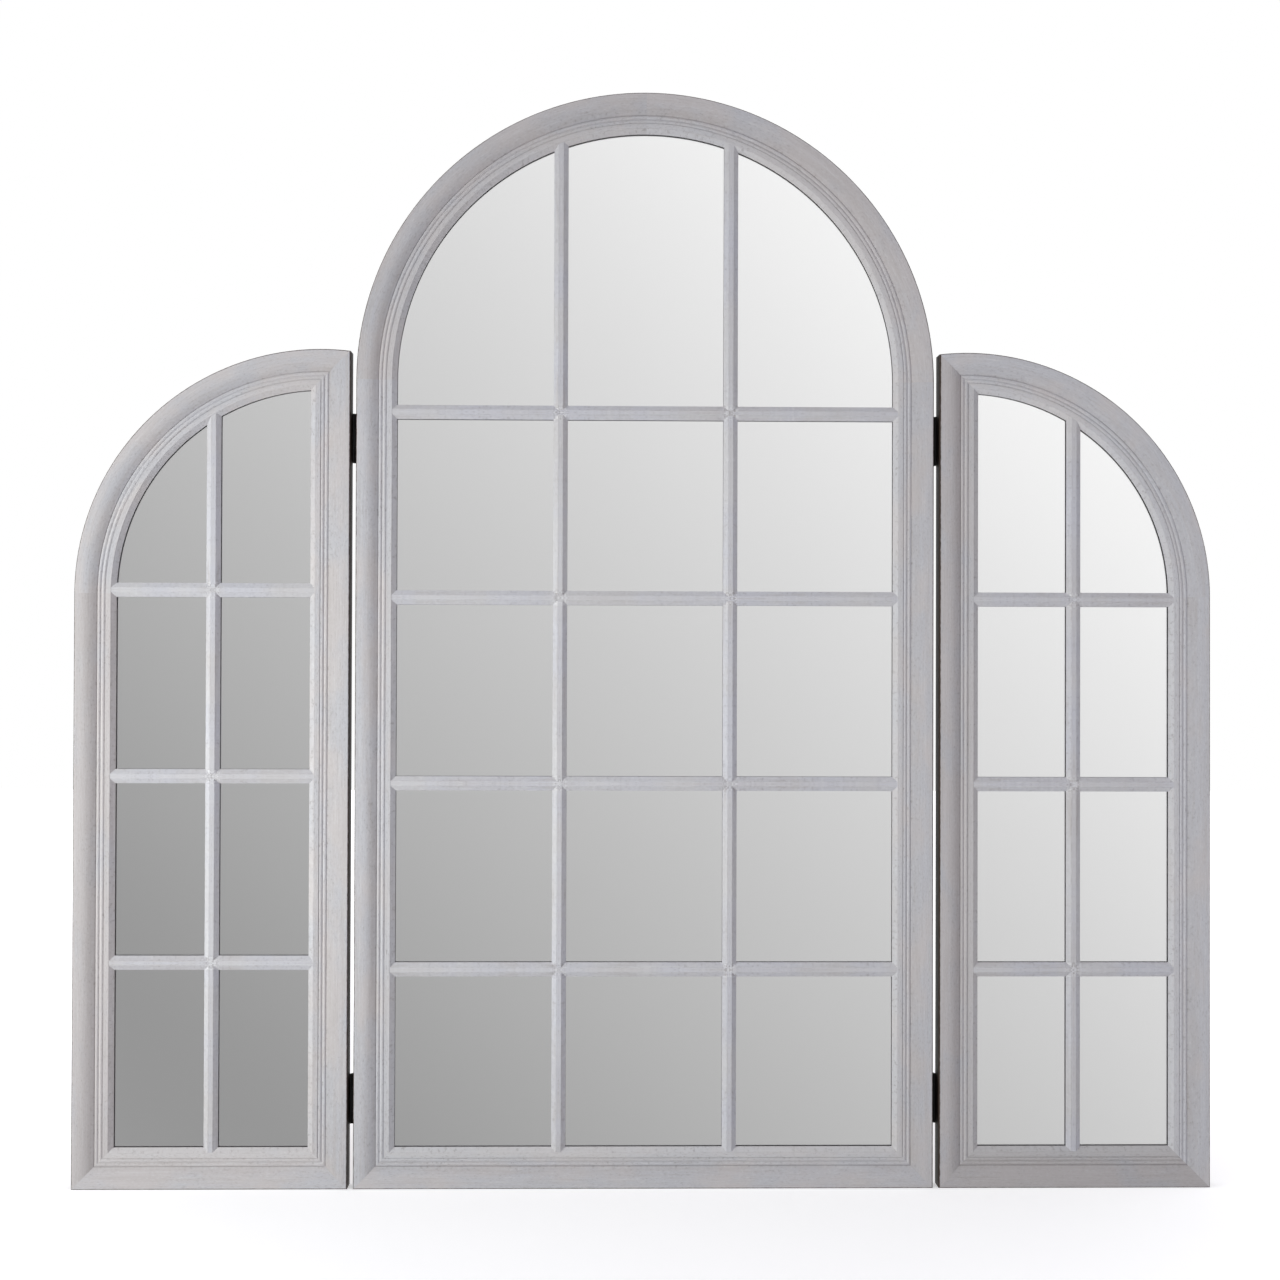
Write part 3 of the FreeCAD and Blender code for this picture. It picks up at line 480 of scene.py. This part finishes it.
def bare_metal(name, dark, light, tarnish, rough):
    """A plated metal with fine scratches, duller patches and a little tarnish."""
    material, shader = new_material(name)
    x, y, z = shader.place()
    scaled = [shader.math("MULTIPLY", value, scale) for value, scale in ((x, 3200.0), (y, 900.0), (z, 180.0))]
    scratches = shader.noise(shader.vector(*scaled), 1.0, 3.0, 0.6)
    patches = shader.noise(shader.vector(x, y, z), 140.0, 4.0, 0.6)
    tone = shader.mix(shader.span(scratches, 0.35, 0.65), colour(*dark), colour(*light))
    tone = shader.mix(shader.span(patches, 0.58, 0.78, 0.0, 0.7), tone, colour(*tarnish))
    dull = shader.math("MULTIPLY_ADD", patches, 0.3, rough)
    shader.surface(
        Base_Color=tone, Metallic=1.0, Roughness=dull, Normal=shader.bump(scratches, 0.12, 0.0001)
    )
    return material


def black_metal(name):
    """Black lacquered steel, rubbed to grey in spots."""
    material, shader = new_material(name)
    x, y, z = shader.place()
    point = shader.vector(x, y, z)
    skin = shader.noise(point, 1800.0, 3.0, 0.6)
    rubs = shader.noise(point, 260.0, 5.0, 0.65)
    tone = shader.mix(shader.span(rubs, 0.60, 0.76), colour(0.012, 0.011, 0.011), colour(0.105, 0.098, 0.092))
    rough = shader.math("MULTIPLY_ADD", skin, 0.3, 0.30)
    shader.surface(Base_Color=tone, Roughness=rough, Normal=shader.bump(skin, 0.25, 0.0001))
    return material


def clear_glass():
    """Float glass, with a faint long wave in its surface."""
    material, shader = new_material("clear_glass")
    x, y, z = shader.place()
    wave = shader.noise(shader.vector(x, y, z), 5.0, 1.0, 0.3)
    shader.surface(
        Base_Color=colour(1.0, 1.0, 1.0),
        Roughness=0.0,
        IOR=1.52,
        Transmission_Weight=1.0,
        Normal=shader.bump(wave, 0.05, 0.0004),
    )
    return material


def silvering():
    """The mirror coat, a little duller in soft patches."""
    material, shader = new_material("silvering")
    x, y, z = shader.place()
    patches = shader.noise(shader.vector(x, y, z), 3.0, 3.0, 0.5)
    tone = shader.mix(patches, colour(0.935, 0.935, 0.935), colour(0.955, 0.955, 0.955))
    shader.surface(Base_Color=tone, Metallic=1.0, Roughness=0.0)
    return material


# Materials on the nodes


def paint(node, material):
    for slot in nodes[node].material_slots:
        slot.link = "OBJECT"
        slot.material = material


def paint_frame(node, run, seed):
    paint(node, frame_wood(f"{node}_wood", run, seed, **WASHES[node]))


def paint_frames():
    rail_low, rail_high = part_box("centre_bottom_rail")
    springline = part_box("centre_right_stile")[1].z
    paint_frame("centre_bottom_rail", level_run, 1)
    for number, (side, edge) in enumerate((("left", rail_low.x), ("right", rail_high.x))):
        paint_frame(f"centre_{side}_stile", upright_run(edge, -math.copysign(1, edge)), 2 + number)
        paint_frame(f"centre_{side}_arch", arched_run(0.0, springline, rail_high.x), 4 + number)
    for number, (side, sign) in enumerate((("left", -1), ("right", 1))):
        panel = f"{side}_wing"
        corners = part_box(f"{panel}_bottom_rail")
        inner, outer = sorted((corner.x for corner in corners), key=abs)
        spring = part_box(f"{panel}_outer_stile")[1].z
        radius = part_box(f"{panel}_arch")[1].z - spring
        runs = {
            "outer_stile": upright_run(outer, -sign),
            "inner_stile": upright_run(inner, sign),
            "bottom_rail": level_run,
            "arch": arched_run(outer - sign * radius, spring, radius),
        }
        for step, (member, run) in enumerate(runs.items()):
            paint_frame(f"{panel}_{member}", run, 10 + 5 * number + step)


def paint_bars():
    bars = sorted(name for name in nodes if "_bar" in name and "board" not in name)
    middles = {name: sum(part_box(name), Vector()) / 2 for name in bars}
    for number, name in enumerate(bars):
        level = "cross" in name
        middle = middles[name]
        panel = next(panel for panel in PANELS if name.startswith(panel))
        others = [other for other in bars if other.startswith(panel) and ("cross" in other) != level]
        crossings = [middles[other].x if level else middles[other].z for other in others]
        run = bar_run(level, middle.z if level else middle.x)
        paint(name, bar_wood(f"{name}_wood", run, 30 + number, crossings))


def paint_fittings():
    steel = bare_metal("tab_steel", (0.42, 0.42, 0.42), (0.62, 0.62, 0.61), (0.34, 0.29, 0.24), 0.30)
    zinc = bare_metal("hanger_zinc", (0.52, 0.52, 0.50), (0.70, 0.70, 0.67), (0.46, 0.45, 0.42), 0.28)
    finishes = {
        "_backing_board": fibre_board(),
        "_frame_dowels": plain_beech(),
        "_backing_tabs": steel,
        "_keyhole_plate": zinc,
        "_leaf": black_metal("hinge_black"),
        "_pin": black_metal("pin_black"),
        "_mirror_glass": clear_glass(),
    }
    for ending, material in finishes.items():
        for name in nodes:
            if name.endswith(ending):
                paint(name, material)


# Screws with a cross recess in the head


def screw_boxes(node):
    """Lowest and highest corner of each screw in a node."""
    mesh = bmesh.new()
    mesh.from_mesh(nodes[node].data)
    bmesh.ops.remove_doubles(mesh, verts=mesh.verts, dist=MERGE_DISTANCE)
    boxes = []
    seen = set()
    for start in mesh.verts:
        if start in seen:
            continue
        seen.add(start)
        group = [start]
        for vert in group:
            joined = [edge.other_vert(vert) for edge in vert.link_edges]
            fresh = [other for other in joined if other not in seen]
            seen.update(fresh)
            group.extend(fresh)
        columns = list(zip(*(vert.co for vert in group)))
        boxes.append((Vector(map(min, columns)), Vector(map(max, columns))))
    mesh.free()
    return boxes


def circle(size):
    angles = [math.tau * step / SCREW_SIDES for step in range(SCREW_SIDES)]
    return [(size * math.cos(angle), size * math.sin(angle)) for angle in angles]


def cross(reach, half_width, turn):
    outline = []
    for quarter in range(4):
        cosine = math.cos(turn + quarter * math.pi / 2)
        sine = math.sin(turn + quarter * math.pi / 2)
        for out, aside in ((reach, -half_width), (reach, half_width), (half_width, half_width)):
            outline.append((out * cosine - aside * sine, out * sine + aside * cosine))
    return outline


def add_screw(mesh, low, high, turn):
    """A countersunk screw that points forward, with a broken rim and a tapered cross recess in its head."""
    middle = (low + high) / 2
    radius = (high.x - low.x) / 2
    length = high.y - low.y

    def ring(outline, depth):
        return [mesh.verts.new((middle.x + across, high.y - depth, middle.z + up)) for across, up in outline]

    def wall(first, second):
        for index in range(len(first)):
            mesh.faces.new((first[index - 1], first[index], second[index], second[index - 1]))

    def arms(shares):
        reach, half_width = shares
        return cross(radius * reach, radius * half_width, turn)

    rim = ring(circle(radius * RIM_SHARE), 0.0)
    sides = [rim, ring(circle(radius), RIM_HEIGHT), ring(circle(SHANK_RADIUS), SCREW_HEAD_HEIGHT)]
    sides.append(ring(circle(SHANK_RADIUS), length * TAPER_START))
    sides.append(ring(circle(SHANK_RADIUS * TIP_SHARE), length))
    for first, second in zip(sides, sides[1:]):
        wall(first, second)
    mesh.faces.new(sides[-1])
    mouth = ring(arms(RECESS_MOUTH), 0.0)
    floor = ring(arms(RECESS_FLOOR), RECESS_DEPTH)
    wall(mouth, floor)
    mesh.faces.new(floor)
    borders = []
    for loop in (rim, mouth):
        borders += [mesh.edges.get((loop[index - 1], loop[index])) for index in range(len(loop))]
    bmesh.ops.triangle_fill(mesh, edges=borders, use_beauty=True)


def cross_headed(node, body, material):
    mesh = bmesh.new()
    for number, (low, high) in enumerate(screw_boxes(node)):
        add_screw(mesh, low, high, SCREW_TURN * number)
    bmesh.ops.recalc_face_normals(mesh, faces=mesh.faces)
    paint(node, material)
    data = bpy.data.meshes.new(f"{node}_crossed")
    mesh.to_mesh(data)
    mesh.free()
    data.materials.append(material)
    screws = bpy.data.objects.new(f"{node}_crossed", data)
    bpy.context.scene.collection.objects.link(screws)
    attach(screws, body)
    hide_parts(node)


# Silvering on the back of each glass


def silver_sheet(panel, material):
    """A thin mirror coat just inside the rear face of a panel's glass, with the outline of that face."""
    glass = nodes[f"{panel}_mirror_glass"]
    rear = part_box(f"{panel}_mirror_glass")[1].y
    mesh = bmesh.new()
    mesh.from_mesh(glass.data)
    fronts = [face for face in mesh.faces if min(vert.co.y for vert in face.verts) < rear - SILVER_DEPTH]
    bmesh.ops.delete(mesh, geom=fronts, context="FACES")
    bmesh.ops.remove_doubles(mesh, verts=mesh.verts, dist=MERGE_DISTANCE)
    for vert in mesh.verts:
        vert.co.y = rear - SILVER_DEPTH
    bmesh.ops.reverse_faces(mesh, faces=mesh.faces)
    data = bpy.data.meshes.new(f"{panel}_silvering")
    mesh.to_mesh(data)
    mesh.free()
    data.materials.clear()
    data.materials.append(material)
    sheet = bpy.data.objects.new(f"{panel}_silvering", data)
    bpy.context.scene.collection.objects.link(sheet)
    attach(sheet, panel)


# Studio


def reflected_grey(shader, x, y, z):
    """What the mirrors show: grey at the lower left, white at the upper right."""
    ahead = shader.math("MAXIMUM", shader.math("MULTIPLY", y, -1.0), 0.05)
    slope = shader.math("DIVIDE", shader.math("ADD", x, z), ahead)
    tone = shader.math("MULTIPLY_ADD", slope, REFLECTED_RISE, REFLECTED_MIDDLE)
    corner = shader.math("MULTIPLY_ADD", slope, CORNER_RISE, CORNER_MIDDLE)
    tone = shader.math("SMOOTH_MAX", tone, corner, BLEND_WIDTH)
    tone = shader.math("SMOOTH_MIN", tone, 1.0, BLEND_WIDTH)
    return shader.math("POWER", tone, SCREEN_GAMMA)


def soft_fill(shader, x, z):
    above = shader.math("MULTIPLY_ADD", shader.math("MULTIPLY", z, z), FILL_UP_AND_DOWN, FILL_LEVEL)
    level = shader.math("MULTIPLY_ADD", x, FILL_TO_THE_RIGHT, above)
    red = shader.math("MULTIPLY", level, FILL_RED)
    blue = shader.math("MULTIPLY", level, FILL_BLUE)
    return shader.vector(red, level, blue)


def make_world():
    """White for the camera, a slope from grey to white for reflected rays, and the soft fill for the rest."""
    world = bpy.data.worlds.new("studio")
    world.use_nodes = True
    world.node_tree.nodes.clear()
    shader = Shader(world.node_tree)
    path = shader.add("ShaderNodeLightPath").outputs
    towards = shader.add("ShaderNodeTexCoord").outputs["Generated"]
    x, y, z = shader.add("ShaderNodeSeparateXYZ", {"Vector": towards}).outputs
    grey = reflected_grey(shader, x, y, z)
    in_front = shader.span(y, 0.0, -0.25)
    seen = shader.mix(in_front, colour(1, 1, 1), shader.vector(grey, grey, grey))
    seen = shader.mix(path["Is Camera Ray"], seen, colour(1, 1, 1))
    sharp = shader.math("MAXIMUM", path["Is Camera Ray"], path["Is Glossy Ray"])
    sharp = shader.math("MAXIMUM", sharp, path["Is Transmission Ray"])
    light = shader.mix(sharp, soft_fill(shader, x, z), seen)
    background = shader.add("ShaderNodeBackground", {"Color": light, "Strength": 1.0})
    out = shader.add("ShaderNodeOutputWorld")
    world.node_tree.links.new(background.outputs[0], out.inputs["Surface"])
    bpy.context.scene.world = world


def pale_floor():
    """Matt and pale, with a glow that turns it white further away."""
    material, shader = new_material("pale_floor")
    x, y, _ = shader.place()
    path = shader.add("ShaderNodeLightPath").outputs
    matt = shader.add("ShaderNodeBsdfDiffuse", {"Color": colour(FLOOR_GREY, FLOOR_GREY, FLOOR_GREY)})
    away = shader.math("SQRT", shader.math("MULTIPLY_ADD", x, x, shader.math("MULTIPLY", y, y)))
    share = shader.math("MAXIMUM", path["Is Camera Ray"], 0.30)
    glow = shader.math("MULTIPLY", shader.span(away, 0.3, 1.6, 0.45, 1.0), share)
    lit = shader.add("ShaderNodeEmission", {"Color": colour(1, 1, 1), "Strength": glow})
    both = shader.add("ShaderNodeAddShader")
    for socket, part in zip(both.inputs, (matt, lit)):
        material.node_tree.links.new(part.outputs[0], socket)
    out = shader.add("ShaderNodeOutputMaterial")
    material.node_tree.links.new(both.outputs[0], out.inputs["Surface"])
    return material


def make_floor():
    """A floor that takes the object's shadow and isn't seen in the mirrors."""
    data = bpy.data.meshes.new("floor")
    ends = (-FLOOR_REACH, FLOOR_REACH)
    corners = [(ends[0], ends[0], 0), (ends[1], ends[0], 0), (ends[1], ends[1], 0), (ends[0], ends[1], 0)]
    data.from_pydata(corners, [], [(0, 1, 2, 3)])
    data.materials.append(pale_floor())
    floor = bpy.data.objects.new("floor", data)
    bpy.context.scene.collection.objects.link(floor)
    floor.visible_glossy = False
    floor.visible_transmission = False


def make_key_lamp():
    data = bpy.data.lights.new("key", "AREA")
    data.shape = "RECTANGLE"
    data.size = KEY_SIZE
    data.size_y = KEY_SIZE
    data.energy = KEY_POWER
    data.color = KEY_TINT
    data.spread = KEY_SPREAD
    lamp = bpy.data.objects.new("key", data)
    lamp.location = KEY_SPOT
    lamp.rotation_euler = (Vector(KEY_TARGET) - Vector(KEY_SPOT)).to_track_quat("-Z", "Y").to_euler()
    lamp.visible_glossy = False
    lamp.visible_transmission = False
    bpy.context.scene.collection.objects.link(lamp)


def make_camera():
    data = bpy.data.cameras.new("camera")
    data.sensor_width = CAMERA_SENSOR
    data.lens = CAMERA_LENS
    data.clip_start = 0.01
    camera = bpy.data.objects.new("camera", data)
    aim = Matrix.Rotation(CAMERA_TURN, 4, "Z")
    aim = aim @ Matrix.Rotation(CAMERA_TILT, 4, "X")
    aim = aim @ Matrix.Rotation(CAMERA_ROLL, 4, "Z")
    camera.matrix_world = Matrix.Translation(CAMERA_SPOT) @ aim
    bpy.context.scene.collection.objects.link(camera)
    bpy.context.scene.camera = camera


paint_frames()
paint_bars()
paint_fittings()
screw_zinc = bare_metal("screw_zinc", (0.46, 0.45, 0.42), (0.66, 0.65, 0.60), (0.36, 0.33, 0.28), 0.30)
for screws_node, screws_body in SCREW_BODIES.items():
    cross_headed(screws_node, screws_body, screw_zinc)
mirror_coat = silvering()
for panel_name in PANELS:
    silver_sheet(panel_name, mirror_coat)

make_world()
make_floor()
make_key_lamp()
make_camera()
bpy.context.scene.view_settings.view_transform = "Standard"
